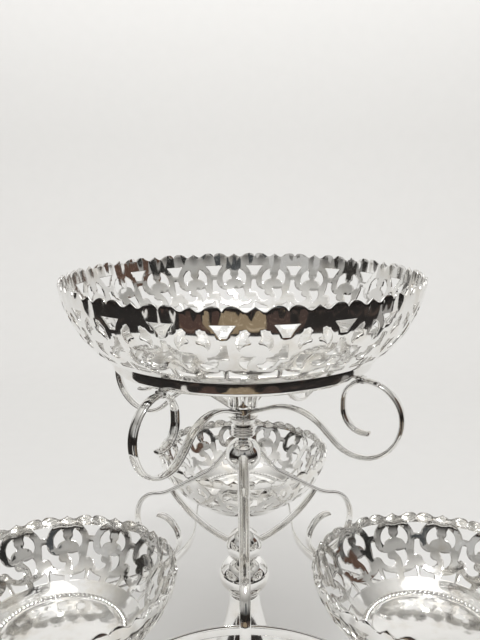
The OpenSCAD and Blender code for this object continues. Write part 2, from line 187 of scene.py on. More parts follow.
# %% [markdown]
# The parts that hide inside the foot and the column are plain workshop metal: a cast iron weight, a
# steel rod with drawn lines along it, a turned brass nut and a steel base plate. They keep the shapes
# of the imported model.

# %% Workshop metals
def drawn_metal(name, colour, dark, roughness, stretch, grain, depth):
    """A workshop metal: grain in mm, stretched along the axes, with a bump depth in mm."""
    finish, shader, place = new_finish(name, 1.0)
    drawn = place.node("ShaderNodeMapping", {"Vector": place, "Scale": stretch})
    lines = drawn.noise(1 / (grain * MM), 3.0)
    lines.mix(colour, dark).feed(shader, "Base Color")
    (roughness + lines * 0.2).feed(shader, "Roughness")
    lines.bump(0.6, depth * MM).feed(shader, "Normal")
    return finish


satin_steel = drawn_metal("satin_steel", (0.55, 0.55, 0.56, 1), (0.36, 0.36, 0.37, 1),
                          roughness=0.28, stretch=(1, 1, 0.04), grain=0.4, depth=0.02)
plate_steel = drawn_metal("plate_steel", (0.5, 0.5, 0.51, 1), (0.3, 0.3, 0.31, 1),
                          roughness=0.35, stretch=(1, 0.05, 1), grain=0.5, depth=0.02)
cast_iron = drawn_metal("cast_iron", (0.16, 0.155, 0.15, 1), (0.07, 0.068, 0.065, 1),
                        roughness=0.5, stretch=(1, 1, 1), grain=1.4, depth=0.3)
turned_brass = drawn_metal("turned_brass", (0.78, 0.6, 0.3, 1), (0.6, 0.44, 0.2, 1),
                           roughness=0.22, stretch=(0.05, 0.05, 1), grain=0.5, depth=0.02)
hidden = {"base_plate": plate_steel, "base_weight": cast_iron, "tie_rod": satin_steel,
          "tie_nut": turned_brass, "bowl_spigot": satin_steel, "bowl_socket": turned_silver}
for node, finish in hidden.items():
    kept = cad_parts[node]
    kept.data.materials.clear()
    kept.data.materials.append(finish)
print("hidden nodes finished:", len(hidden))

# %% [markdown]
# ## The bench
# A few helpers do what the hands do again and again: choose a piece, open a new one, pick vertices by
# their place, and give a finished piece its edges, metal and body.

# %% Bench helpers
EDGE_ANGLE = math.radians(40)
SMOOTH_ANGLE = math.radians(35)


def deselect():
    bpy.ops.object.select_all(action="DESELECT")


def choose(piece):
    """Makes a piece the active one and the only one selected."""
    deselect()
    piece.select_set(True)
    bpy.context.view_layer.objects.active = piece


def begin(name):
    """Names the primitive just added and opens it in edit mode with everything selected."""
    piece = bpy.context.object
    piece.name = name
    piece.data.name = name
    bpy.ops.object.mode_set(mode="EDIT")
    bpy.ops.mesh.select_all(action="SELECT")
    return piece


def pick(piece, test):
    """In edit mode, selects the vertices whose place, in mm, passes a test."""
    bpy.ops.mesh.select_mode(type="VERT")
    bpy.ops.mesh.select_all(action="DESELECT")
    bpy.ops.object.mode_set(mode="OBJECT")
    for vertex in piece.data.vertices:
        vertex.select = test(vertex.co / MM)
    bpy.ops.object.mode_set(mode="EDIT")


def close_up(merge=0.01):
    """In edit mode, merges doubles and turns the faces outwards, and goes back to object mode."""
    bpy.ops.mesh.select_all(action="SELECT")
    bpy.ops.mesh.remove_doubles(threshold=merge * MM)
    bpy.ops.mesh.normals_make_consistent(inside=False)
    bpy.ops.object.mode_set(mode="OBJECT")


def soften(piece, width, even=False):
    """Bevels the sharp edges of a piece by a width in mm, kept even on sheet with small faces."""
    choose(piece)
    edge = piece.modifiers.new("edge", "BEVEL")
    edge.width = width * MM
    edge.segments = 2
    edge.use_clamp_overlap = not even
    edge.loop_slide = not even
    edge.limit_method = "ANGLE"
    edge.angle_limit = EDGE_ANGLE
    bpy.ops.object.modifier_apply(modifier="edge")


def hand_over(piece, finish, body, nodes):
    """Smooths a piece, gives it its metal and fixes it to its body in place of CAD nodes."""
    choose(piece)
    bpy.ops.object.shade_smooth_by_angle(angle=SMOOTH_ANGLE)
    piece.data.materials.clear()
    piece.data.materials.append(finish)
    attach(piece, body)
    if nodes:
        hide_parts(*nodes)
    print(piece.name, "faces", len(piece.data.polygons))


def copy_of(piece, name, move):
    """A copy of a piece with its own mesh, moved by a matrix."""
    twin = bpy.data.objects.new(name, piece.data.copy())
    twin.data.name = name
    twin.data.transform(move)
    bpy.context.scene.collection.objects.link(twin)
    return twin


def turn_z(degrees):
    return Matrix.Rotation(math.radians(degrees), 4, "Z")


print("bench ready")

# %% [markdown]
# ## Turned pieces
# The column is a stack of turned pieces on one tie rod. Each is a lathe job: a single vertex is
# extruded from point to point along the profile, and the profile is spun round the axis.
# Circles and domes in a profile come from short formulas.

# %% Lathe
def turned(name, profile, segments=96):
    """Spins a profile of (radius, height) points round the axis."""
    deselect()
    bpy.ops.mesh.primitive_plane_add(size=MM)
    piece = begin(name)
    bpy.ops.mesh.merge(type="CENTER")
    radius, height = profile[0]
    bpy.ops.transform.translate(value=Vector((radius, 0, height)) * MM)
    for (r0, z0), (r1, z1) in zip(profile, profile[1:]):
        step = Vector((r1 - r0, 0, z1 - z0)) * MM
        bpy.ops.mesh.extrude_region_move(TRANSFORM_OT_translate={"value": step})
    bpy.ops.mesh.select_all(action="SELECT")
    bpy.ops.mesh.spin(steps=segments, angle=2 * math.pi, center=(0, 0, 0), axis=(0, 0, 1))
    close_up()
    return piece


def bow(centre_r, centre_z, radius, start, end, steps):
    """Points on a circle, from one angle to another, in degrees from straight out."""
    angles = [math.radians(start + (end - start) * step / steps) for step in range(steps + 1)]
    return [(centre_r + radius * math.cos(angle), centre_z + radius * math.sin(angle)) for angle in angles]


print("lathe ready")

# %% [markdown]
# The foot is a trumpet that flares into a dome with a moulded edge. A reed runs round the crown where
# the trumpet meets the dome. The profile starts under the edge and climbs to the collar.

# %% Foot
FOOT_TOP = 97
WAIST_R = 10.5
CROWN_R = 30
CROWN_Z = 34
EDGE_R = 76.5
EDGE_Z = 10


def trumpet(height):
    """The trumpet's radius at a height."""
    return WAIST_R + (CROWN_R - WAIST_R) * ((FOOT_TOP - height) / (FOOT_TOP - CROWN_Z)) ** 1.5


def dome(radius):
    """The dome's height at a radius."""
    return EDGE_Z + (CROWN_Z - EDGE_Z) * (1 - ((radius - CROWN_R) / (EDGE_R - CROWN_R)) ** 2)


foot_profile = [(0, 2.2), (80, 2.2), (82, 2.4), (82.5, 3.4), (82.4, 5), (81.6, 6), (79.5, 6.9), (78.2, 8),
                (78, 9.2), (77.4, 10)]
dome_radii = [EDGE_R - 1.5 * step for step in range(29)]
foot_profile += [(radius, dome(radius)) for radius in dome_radii]
foot_profile += bow(CROWN_R, CROWN_Z, 2.5, 10, 95, 8)
foot_profile += [(trumpet(height), height) for height in range(37, FOOT_TOP, 2)]
foot_profile += [(WAIST_R, FOOT_TOP), (0, FOOT_TOP)]
foot = turned("trumpet_foot", foot_profile, 128)
soften(foot, 0.3)
hand_over(foot, foot_silver, "stand", ["foot"])

# %% [markdown]
# Above the foot come a collar, a round knop, a ball, the plain stem, a second ball, a neck, a reeded
# screw collar, the saucer and the hub that the scrolls grow from. Each stands on the one below it, so
# only the heights of their tops are named.

# %% Column
COLLAR_TOP = 100.5
KNOP_TOP = 121
LOWER_BALL_TOP = 143.5
STEM_TOP = 187.5
UPPER_BALL_TOP = 209
NECK_TOP = 212
SCREW_TOP = 219
SAUCER_TOP = 226
HUB_TOP = 232.5
STEM_R = 4.1


def column_piece(name, node, low, high, side, edge=0.0):
    """A turned piece between two heights, from the points of its side, with its edges softened if an edge
    width is given.
    """
    piece = turned(name, [(0, low)] + side + [(0, high)])
    if edge:
        soften(piece, edge)
    hand_over(piece, turned_silver, "stand", [node])


def ball_side(radius, low, high):
    """The side of a ball that is cut flat at two heights."""
    reach = math.degrees(math.asin((high - low) / 2 / radius))
    return bow(0, (low + high) / 2, radius, -reach, reach, 36)


collar_side = [(9.4, FOOT_TOP)] + bow(9.2, FOOT_TOP + 1.75, 1.75, -80, 80, 8) + [(9.4, COLLAR_TOP)]
column_piece("silver_collar", "foot_collar", FOOT_TOP, COLLAR_TOP, collar_side)

knop_rises = [-10.25 + 20.5 * step / 28 for step in range(29)]
knop_side = [(4.95 + math.sqrt(12.3 ** 2 - rise ** 2), 110.75 + rise) for rise in knop_rises]
column_piece("silver_knop", "knop", COLLAR_TOP, KNOP_TOP, knop_side, 0.2)

lower_side = ball_side(12.25, KNOP_TOP, LOWER_BALL_TOP)
column_piece("silver_lower_ball", "lower_ball", KNOP_TOP, LOWER_BALL_TOP, lower_side)
upper_side = ball_side(11.75, STEM_TOP, UPPER_BALL_TOP)
column_piece("silver_upper_ball", "upper_ball", STEM_TOP, UPPER_BALL_TOP, upper_side)

stem_side = [(STEM_R, LOWER_BALL_TOP), (STEM_R, STEM_TOP)]
column_piece("silver_stem", "stem_tube", LOWER_BALL_TOP, STEM_TOP, stem_side)

neck_side = [(4, UPPER_BALL_TOP), (3.7, 209.8), (3.6, 210.5), (3.7, 211.2), (4, NECK_TOP)]
column_piece("silver_neck", "neck_spool", UPPER_BALL_TOP, NECK_TOP, neck_side)

screw_side = [(6.6, NECK_TOP)]
for ring in range(3):
    screw_side += bow(6.85, 213.17 + 2.33 * ring, 1.15, -85, 85, 8)
screw_side += [(6.6, SCREW_TOP)]
column_piece("silver_screw_collar", "screw_collar", NECK_TOP, SCREW_TOP, screw_side)

saucer_side = [(5.2, SCREW_TOP), (6.4, 219.6), (7.6, 221), (8.4, 222.8), (8.8, 224.2)]
saucer_side += bow(9.3, 225.1, 0.7, -110, 90, 8) + [(8.3, 225.6), (7.4, 225.9)]
column_piece("silver_saucer", "saucer", SCREW_TOP, SAUCER_TOP, saucer_side)

hub_side = [(5.6, SAUCER_TOP)] + bow(5.45, 226.8, 0.8, -80, 0, 4)
hub_side += bow(5.45, 231.7, 0.8, 0, 80, 4) + [(5.6, HUB_TOP)]
column_piece("silver_hub", "scroll_hub", SAUCER_TOP, HUB_TOP, hub_side)

# %% [markdown]
# The calyx is a leafy cup under the bowl. It is turned as a plain flare and then fluted: between the
# leaves the wall is drawn inwards, never outwards, so that it stays inside the plain turning.

# %% Calyx
CALYX_R = 10
FLARE = 23
FLARE_STEPS = 24
FLUTES = 8
FLUTE_DEPTH = 0.16

calyx_low, calyx_high = [corner[2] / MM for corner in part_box("calyx")]
calyx_rise = calyx_high - calyx_low
calyx_profile = [(0, calyx_low)]
for step in range(FLARE_STEPS + 1):
    part = step / FLARE_STEPS
    calyx_profile.append((CALYX_R + FLARE * part ** 1.7, calyx_low + calyx_rise * part))
calyx_profile.append((0, calyx_high))
calyx = turned("leaf_calyx", calyx_profile, 128)
for vertex in calyx.data.vertices:
    around = math.atan2(vertex.co.y, vertex.co.x)
    climb = (vertex.co.z / MM - calyx_low) / calyx_rise
    groove = (0.5 + 0.5 * math.cos(FLUTES * around)) ** 3
    depth = FLUTE_DEPTH * math.sin(math.pi * min(1.0, climb * 0.8 + 0.1))
    vertex.co.xy *= 1 - depth * groove
soften(calyx, 0.3)
hand_over(calyx, turned_silver, "stand", ["calyx"])

# %% [markdown]
# ## Straps
# Scrolls, arms, braces and frame are all bent from reeded strap. The section starts as a circle, four
# lines are pressed into it as grooves, and it is flattened into an oval. Straight runs are extruded and
# bends are spun about the bend's centre, as on a bending jig. A strap is bent in the upright XZ plane,
# and copies are turned to their places. In a script, with no window, a spin to the left takes the axis
# +Y and one to the right takes -Y. The free end of a strap is filed round.

# %% Bending jig
SIDES = 40
PRESS = 0.88
TIP_STEPS = ((0.4, 0.9), (0.3, 0.75), (0.2, 0.55))


def on_groove(place):
    """True on the four lines, halfway between crown and edge, that are pressed in as grooves."""
    return abs(abs(place.z) - abs(place.y)) < 0.01


def strap_section(name, width, thickness):
    """A reeded oval section in the YZ plane, open in edit mode: a bend path starts here along +X."""
    deselect()
    bpy.ops.mesh.primitive_circle_add(vertices=SIDES, radius=width / 2 * MM, rotation=(0, math.pi / 2, 0))
    bpy.ops.object.transform_apply(rotation=True)
    section = begin(name)
    pick(section, on_groove)
    bpy.ops.transform.resize(value=(1, PRESS, PRESS), center_override=(0, 0, 0))
    bpy.ops.mesh.select_all(action="SELECT")
    bpy.ops.transform.resize(value=(1, 1, thickness / width), center_override=(0, 0, 0))
    return section


def way(heading):
    """The direction of a heading in the XZ plane, in degrees up from +X."""
    return Vector((math.cos(math.radians(heading)), 0, math.sin(math.radians(heading))))


def extrude_along(direction, length):
    bpy.ops.mesh.extrude_region_move(TRANSFORM_OT_translate={"value": direction * length * MM})


def bent_strap(name, width, thickness, start, bends, closed=False):
    """A strap from a start (x, z, heading) through ("line", length) and ("arc", radius, turn) bends."""
    strap = strap_section(name, width, thickness)
    x, z, heading = start
    bpy.ops.transform.rotate(value=math.radians(heading), orient_axis="Y", center_override=(0, 0, 0))
    bpy.ops.transform.translate(value=(x * MM, 0, z * MM))
    for bend in bends:
        along = way(heading)
        if bend[0] == "line":
            extrude_along(along, bend[1])
            x += along.x * bend[1]
            z += along.z * bend[1]
            continue
        radius, turn = bend[1:]
        left = 1 if turn > 0 else -1
        middle = Vector((x - left * radius * along.z, 0, z + left * radius * along.x))
        steps = max(3, round(abs(turn) / 3))
        bpy.ops.mesh.spin(steps=steps, angle=math.radians(abs(turn)), center=middle * MM, axis=(0, left, 0))
        heading += turn
        x = middle.x + left * radius * math.sin(math.radians(heading))
        z = middle.z - left * radius * math.cos(math.radians(heading))
    if not closed:
        for length, scale in TIP_STEPS:
            extrude_along(way(heading), length)
            bpy.ops.transform.resize(value=(scale, scale, scale))
        bpy.ops.mesh.edge_face_add()
        bpy.ops.mesh.select_all(action="DESELECT")
        bpy.ops.object.mode_set(mode="OBJECT")
        for vertex in strap.data.vertices[:SIDES]:
            vertex.select = True
        bpy.ops.object.mode_set(mode="EDIT")
        bpy.ops.mesh.edge_face_add()
    close_up()
    print(name, "ends at", round(x, 1), round(z, 1), "heading", round(heading))
    return strap


def set_round(strap, kind, angles):
    """Copies a strap round the column and turns the strap itself to the first of the angles."""
    for number, angle in enumerate(angles[1:], 2):
        twin = copy_of(strap, "silver_%s_%d" % (kind, number), turn_z(angle))
        hand_over(twin, strap_silver, "stand", ["%s_%d" % (kind, number)])
    strap.data.transform(turn_z(angles[0]))
    hand_over(strap, strap_silver, "stand", [kind + "_1"])


print("jig ready")

# %% [markdown]
# A scroll leaves the hub, falls over a shoulder, heels up again and closes in a loop with a curl
# inside. The bowl rests on the tops of the four loops.

# %% Scrolls
SCROLL_ANGLES = (57, 147, 237, 327)
STRAP_W = 6.5
STRAP_T = 3

scroll_bends = [("line", 18), ("arc", 36, -62), ("line", 11), ("arc", 24, 42), ("arc", 26, 90),
                ("arc", 22, 90), ("arc", 15, 90), ("line", 3.5), ("arc", 14, 100)]
scroll = bent_strap("silver_scroll_1", STRAP_W, STRAP_T, (5.25, 228.85, 20), scroll_bends)
set_round(scroll, "scroll", SCROLL_ANGLES)

# %% [markdown]
# Each arm springs from the upper ball, runs down and outwards, goes under the frame and ends in an
# open curl that rises inside the frame.

# %% Arms
ARM_ANGLES = (30, 150, 270)

arm_bends = [("line", 22), ("arc", 30, 19), ("line", 36), ("arc", 40, 21), ("arc", 24, -78),
             ("arc", 23.5, -90), ("arc", 14, -90), ("arc", 16, -95)]
arm = bent_strap("silver_arm_1", STRAP_W, STRAP_T, (8.25, 203.25, -52), arm_bends)
set_round(arm, "arm", ARM_ANGLES)

# %% [markdown]
# A lighter brace bows from the lower ball to the middle of each arm, in one bend. Both of its ends are
# soldered on.

# %% Braces
BRACE_W = 6
BRACE_LOW = (10.25, 132.25)
BRACE_HIGH = (59.3, 159.6)
HALF_BEND = 21

run = BRACE_HIGH[0] - BRACE_LOW[0]
climb = BRACE_HIGH[1] - BRACE_LOW[1]
slope = math.degrees(math.atan2(climb, run))
brace_r = math.hypot(run, climb) / 2 / math.sin(math.radians(HALF_BEND))
brace_start = (*BRACE_LOW, slope - HALF_BEND)
brace = bent_strap("silver_brace_1", BRACE_W, STRAP_T, brace_start, [("arc", brace_r, 2 * HALF_BEND)])
set_round(brace, "brace", ARM_ANGLES)

# %% [markdown]
# The frame is one strap on edge that runs round three lobes and dips in between them. It is bent in
# the upright plane as the others are, closed on itself and then laid flat at its height.

# %% Frame
FRAME_W = 7
FRAME_T = 1.8
LOBE_R = 38.4
LOBE_SIDE = 59.52
HOLLOW_R = 81.94
FRAME_START = (69.48, -LOBE_R, 0)

third = [("line", LOBE_SIDE), ("arc", LOBE_R, 180), ("line", LOBE_SIDE), ("arc", HOLLOW_R, -60)]
basket_frame = bent_strap("silver_frame", FRAME_W, FRAME_T, FRAME_START, third * 3, True)
frame_low, frame_high = [corner[2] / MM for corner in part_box("basket_frame")]
raised = Matrix.Translation((0, 0, (frame_low + frame_high) / 2 * MM))
laid = Matrix.Rotation(math.radians(-90), 4, "X")
basket_frame.data.transform(raised @ turn_z(90) @ laid)
hand_over(basket_frame, strap_silver, "stand", ["basket_frame"])

# %% [markdown]
# ## Pierced sheet
# The walls of the bowl and the baskets are sheet that was sawn out flat, curved and seamed. They are
# made the same way: one unit of the pattern is drawn flat as a curve with holes, filled, cut into a
# fine grid, repeated round the rim with an Array, and then rolled into the wall's curve. The border of
# the unit winds between the holes, so that no hole is cut by a seam. A knot is (across, down, kind):
# "v" is sharp and "a" is smooth.

# %% Pattern
UNIT = 32.5
HALF = UNIT / 2
COLUMN_W = UNIT / 16
ROW_H = 2.4

rim_edge = [(0, 2.8, "v"), (1.8, 0.7, "a"), (4.4, 0, "a"), (7.4, 0.7, "a"), (11.4, 3, "a"),
            (14.6, 1.6, "a"), (HALF, 0.3, "v")]
seam = [(HALF, 27.5), (12.6, 29.8), (13.3, 31.7), (15, 33.5), (16.9, 35.8), (17.2, 39), (HALF, 43.1)]
drop_hole = [(-6.6, 10.2, "v"), (6.6, 10.2, "v"), (3.9, 13.7, "a"), (2.1, 17.2, "v"),
             (-2.1, 17.2, "v"), (-3.9, 13.7, "a")]
boot_hole = [(-1.6, 21.4, "v"), (1.6, 21.4, "v"), (1.9, 24.5, "a"), (3.4, 27.4, "a"), (6.6, 29.4, "a"),
             (9.6, 29.8, "v"), (9.3, 32.1, "a"), (10.4, 33.9, "a"), (14.2, 34.7, "v"), (14.6, 36, "a"),
             (12.4, 38.3, "a"), (9, 38.9, "a"), (5.8, 37.3, "a"), (4.2, 35.2, "a"), (2.9, 32.5, "a"),
             (0.4, 31.2, "a"), (-2.7, 31.5, "v"), (-2.2, 26.9, "a")]
crescent_hole = [(11.9, 12.8, "v"), (8.3, 15.6, "a"), (6.5, 19.7, "a"), (7, 22.9, "a"), (8.3, 24.8, "v"),
                 (9.9, 22, "a"), (14.4, 19.9, "v"), (12.9, 17.4, "a"), (13, 14.7, "a")]
leaf_hole = [(15.6, 28.8, "v"), (19, 29.1, "a"), (23.2, 28.3, "v"), (24.6, 31.7, "a"), (24.4, 35, "a"),
             (22.6, 37.7, "a"), (20.2, 39.6, "v"), (20, 36.9, "a"), (19.2, 33.7, "a"), (17.4, 31.2, "a")]
foot_hole = [(1.7, 39.6, "v"), (1.4, 46.7, "v"), (13.3, 46.9, "v"), (13, 44, "v"), (8, 43, "a"),
             (4.2, 41.5, "a")]


def shifted(knots, across, down=0):
    return [(x + across, y + down, kind) for x, y, kind in knots]


def mirrored(knots, middle):
    return [(2 * middle - x, y, kind) for x, y, kind in reversed(knots)]


holes = [drop_hole, boot_hole, crescent_hole, shifted(mirrored(crescent_hole, HALF), -UNIT),
         shifted(leaf_hole, -UNIT), foot_hole, shifted(mirrored(foot_hole, HALF), -UNIT)]


def flat_unit(name, depth, trim):
    """One unit as a flat mesh in mm: depth is the wall's length, trim is cut off its rim."""
    outline = bpy.data.curves.new(name, "CURVE")
    outline.dimensions = "2D"
    outline.fill_mode = "BOTH"
    edge = [(x, y - trim, "v") for x, y in seam] + [(HALF, depth, "v")]
    border = mirrored(rim_edge, 0)[:-1] + rim_edge + edge + shifted(edge[::-1], -UNIT)
    for knots in [border] + [shifted(hole, 0, -trim) for hole in holes]:
        spline = outline.splines.new("BEZIER")
        spline.bezier_points.add(len(knots) - 1)
        spline.use_cyclic_u = True
        spline.resolution_u = 5
        for knot, (x, y, kind) in zip(spline.bezier_points, knots):
            knot.co = (x, -y, 0)
            knot.handle_left_type = "VECTOR" if kind == "v" else "AUTO"
            knot.handle_right_type = knot.handle_left_type
    unit = bpy.data.objects.new(name, outline)
    bpy.context.scene.collection.objects.link(unit)
    choose(unit)
    bpy.ops.object.convert(target="MESH")
    bpy.ops.object.mode_set(mode="EDIT")
    bpy.ops.mesh.select_all(action="SELECT")
    bpy.ops.mesh.dissolve_limited(angle_limit=0.02)
    for column in range(-18, 19):
        bpy.ops.mesh.select_all(action="SELECT")
        bpy.ops.mesh.bisect(plane_co=(column * COLUMN_W, 0, 0), plane_no=(1, 0, 0))
    for row in range(1, int(depth / ROW_H) + 1):
        bpy.ops.mesh.select_all(action="SELECT")
        bpy.ops.mesh.bisect(plane_co=(0, -ROW_H * row, 0), plane_no=(0, 1, 0))
    bpy.ops.object.mode_set(mode="OBJECT")
    return unit


print("holes in a unit:", len(holes))

# %% [markdown]
# Rolling follows one circle arc from the lean at the rim to the steeper lean at the floor. Near the rim
# three ripples a unit press the sheet inwards. The last ring of vertices is then extruded inwards into
# a low step and a floor that closes at the middle, and Solidify gives the sheet its thickness inwards.

# %% Rolling
LEAN = math.radians(6)
RIPPLE = 0.44
RIPPLES = 3
RIM_DEPTH = 16
SHEET = 1.2
FINEST = 0.4


def wall_curve(rim_r, height, floor_r):
    """The wall's arc radius and its length, from the rim to the floor."""
    end = 2 * math.atan2(rim_r - floor_r, height) - LEAN
    radius = height / (math.sin(end) - math.sin(LEAN))
    return radius, radius * (end - LEAN)


def selected_vertices(piece):
    """The selected vertices of a piece that is in edit mode."""
    piece.update_from_editmode()
    return [vertex for vertex in piece.data.vertices if vertex.select]


def lay_floor(dish, floor_r, floor_z):
    """Extrudes the wall's lowest ring into a low step and a flat floor, closed at the middle."""
    pick(dish, lambda place: place.z < floor_z + 0.02)
    rings = [(floor_r - 3.2, 0.0), (floor_r - 3.8, 0.5), (floor_r - 5.0, 0.5), (floor_r - 5.6, 0.0)]
    rings += [(floor_r * part, 0.0) for part in (0.7, 0.4, 0.1)]
    now_r = floor_r
    for ring_r, ring_z in rings:
        bpy.ops.mesh.extrude_region_move()
        scale = ring_r / now_r
        bpy.ops.transform.resize(value=(scale, scale, 1), center_override=(0, 0, 0))
        lift = (floor_z + ring_z) * MM - max(vertex.co.z for vertex in selected_vertices(dish))
        bpy.ops.transform.translate(value=(0, 0, lift))
        now_r = ring_r
    bpy.ops.mesh.merge(type="CENTER")
    close_up(0.002)


def give_thickness(dish, floor_z):
    """Solidifies a dish inwards, with the faces of its wall turned to the outside first."""
    outward = 0.0
    for face in dish.data.polygons:
        if face.center.z > (floor_z + 10) * MM:
            outward += face.area if face.normal.xy.dot(face.center.xy) > 0 else -face.area
    if outward < 0:
        dish.data.flip_normals()
    choose(dish)
    sheet = dish.modifiers.new("sheet", "SOLIDIFY")
    sheet.thickness = SHEET * MM
    sheet.offset = -1
    bpy.ops.object.modifier_apply(modifier="sheet")
    soften(dish, 0.2, even=True)


def pierced_dish(name, rim_r, height, floor_r, units, trim, phase, floor_z, swell=0.0):
    """A dish rolled from flat units. Phase is the first unit's angle, and swell bows the rim outwards."""
    radius, depth = wall_curve(rim_r, height, floor_r)
    dish = flat_unit(name, depth, trim)
    repeat = dish.modifiers.new("repeat", "ARRAY")
    repeat.count = units
    repeat.use_relative_offset = False
    repeat.use_constant_offset = True
    repeat.constant_offset_displace = (UNIT, 0, 0)
    repeat.use_merge_vertices = True
    repeat.merge_threshold = 0.01
    bpy.ops.object.modifier_apply(modifier="repeat")
    for vertex in dish.data.vertices:
        across = vertex.co.x
        down = -vertex.co.y
        around = math.radians(phase) - 2 * math.pi * across / (units * UNIT)
        lean = LEAN + down / radius
        fade = max(0.0, 1 - down / RIM_DEPTH) ** 1.5
        ripple = RIPPLE * fade * (1 - math.cos(2 * math.pi * RIPPLES * across / UNIT))
        upright = swell * math.sin(math.pi * min(1.0, down / RIM_DEPTH))
        reach = rim_r - radius * (math.cos(LEAN) - math.cos(lean)) - ripple + upright
        level = floor_z + height - radius * (math.sin(lean) - math.sin(LEAN))
        vertex.co = Vector((reach * math.cos(around), reach * math.sin(around), level)) * MM
    choose(dish)
    bpy.ops.object.mode_set(mode="EDIT")
    bpy.ops.mesh.select_all(action="SELECT")
    bpy.ops.mesh.remove_doubles(threshold=FINEST * MM)
    lay_floor(dish, floor_r, floor_z)
    give_thickness(dish, floor_z)
    return dish


print("rolling ready")

# %% [markdown]
# The bowl has 22 units. The rim's notch stands over each drop-shaped hole, and one of those is a little
# to the left of the front. Under the floor a plain band with a turned lip carries the bowl on the
# scrolls, and two fine lines run round its top.

# %% Bowl
BOWL_H = 45.5
BAND_H = 10
BAND_R = 82.5
LIP_W = 1.3
LIP_H = 3.4
ROOM = 0.1

bowl_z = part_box("top_bowl")[1][2] / MM - BOWL_H
bowl = pierced_dish("pierced_bowl", rim_r=114.4, height=BOWL_H - ROOM, floor_r=90.5, units=22, trim=0,
                    phase=264.8, floor_z=bowl_z)
hand_over(bowl, sheet_silver, "bowl", ["top_bowl"])

band_z = bowl_z - BAND_H
band_profile = [(82.45, bowl_z)]
for step in range(11):
    turn = math.radians(9 * step)
    band_profile.append((BAND_R + LIP_W * math.sin(turn), band_z + LIP_H - LIP_H * math.cos(turn)))
band_lines = [(83.9, 4), (83.8, 2.4), (83.2, 2.1), (83.2, 1.8), (83.8, 1.5), (83.8, 0.9),
              (83.2, 0.6), (83.2, 0)]
band_profile += [(radius, bowl_z - drop) for radius, drop in band_lines]
band = turned("silver_band", band_profile, 192)
hand_over(band, sheet_silver, "bowl", ["bowl_band"])

# %% [markdown]
# Four small wedges are soldered to the loops, and the band rests on them.

# %% Lugs
def block(name, size, middle):
    """A block of a size about a middle, in mm, drawn in at its top, with its edges bevelled."""
    deselect()
    bpy.ops.mesh.primitive_cube_add(size=MM)
    made = begin(name)
    bpy.ops.transform.resize(value=size, center_override=(0, 0, 0))
    pick(made, lambda place: place.z > 0)
    bpy.ops.transform.resize(value=(0.8, 0.9, 1), center_override=(0, 0, 0))
    bpy.ops.object.mode_set(mode="OBJECT")
    made.data.transform(Matrix.Translation(Vector(middle) * MM))
    soften(made, 0.3)
    return made


lug = block("silver_lug", (5, 6.6, 3.4), (83.2, 0, band_z - 1.75))
for number, angle in enumerate(SCROLL_ANGLES, 1):
    twin = copy_of(lug, "silver_lug_%d" % number, turn_z(angle))
    hand_over(twin, strap_silver, "stand", ["bowl_lug_%d" % number])
bpy.data.objects.remove(lug)

# %% [markdown]
# The baskets repeat the bowl's pattern with 13 units, a shorter rim and a beaded ring on the floor. One
# is modelled round the column's axis and copied to the three lobes, each with the ring foot that drops
# into its lobe.

# %% Baskets
BASKET_H = 42.5
BASKET_REACH = 129
BEAD_R = 2.1
BEAD_RING_R = 38.2
BEADS = 80

basket_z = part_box("basket_1")[1][2] / MM - BASKET_H
basket = pierced_dish("pierced_basket", rim_r=71.8, height=BASKET_H - ROOM, floor_r=40, units=13, trim=2.5,
                      phase=84, floor_z=basket_z, swell=0.65)

foot_low, foot_high = [corner[2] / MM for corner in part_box("basket_foot_1")]
ring_profile = [(33.5, foot_low + 0.6), (33.5, foot_high), (36.5, foot_high)]
ring_profile += bow(35, foot_low + 1.5, 1.5, 0, -180, 10)
ring_foot = turned("basket_ring", ring_profile, 128)

floor_top = basket_z + 1.15
bead_profile = bow(BEAD_RING_R, floor_top, BEAD_R, 180, 0, 10) + [(BEAD_RING_R - BEAD_R, floor_top)]
bead_ring = turned("bead_ring", bead_profile, 6 * BEADS)
for vertex in bead_ring.data.vertices:
    around = math.atan2(vertex.co.y, vertex.co.x)
    swell = 0.55 + 0.45 * abs(math.cos(BEADS / 2 * around))
    vertex.co.z = (floor_top + (vertex.co.z / MM - floor_top) * swell) * MM

basket_places = ((90, "rear_basket"), (210, "left_basket"), (330, "right_basket"))
for number, (angle, body) in enumerate(basket_places, 1):
    place = turn_z(angle) @ Matrix.Translation((BASKET_REACH * MM, 0, 0)) @ turn_z(-angle)
    twin = copy_of(basket, "pierced_basket_%d" % number, place)
    hand_over(twin, sheet_silver, body, ["basket_%d" % number])
    ring = copy_of(ring_foot, "basket_ring_%d" % number, place)
    hand_over(ring, turned_silver, body, ["basket_foot_%d" % number])
    beads = copy_of(bead_ring, "bead_ring_%d" % number, place)
    hand_over(beads, turned_silver, body, [])
for pattern in (basket, ring_foot, bead_ring):
    bpy.data.objects.remove(pattern)

# %% [markdown]
# ## Paper, cards and lamps
# Polished silver shows little but its surroundings. The pale paper and the bright world give the
# whites. The floor curves up into the wall, so that there is no line behind the silver.

# %% Paper
PAPER = (0.8, 0.795, 0.785, 1)
SWEEP_W = 8
SWEEP_L = 4.8
COVE_R = 0.5
COVE_Y = 0.8
COVE_TURN = 85


def paper_finish(name, colour, roughness):
    """Matt paper with a faint tooth that darkens it by 3 in 100."""
    finish, shader, place = new_finish(name, 0.0)
    tooth = place.noise(40.0, 4.0)
    tooth.mix(colour, [0.97 * part for part in colour[:3]] + [1]).feed(shader, "Base Color")
    (roughness + tooth * 0.1).feed(shader, "Roughness")
    return finish


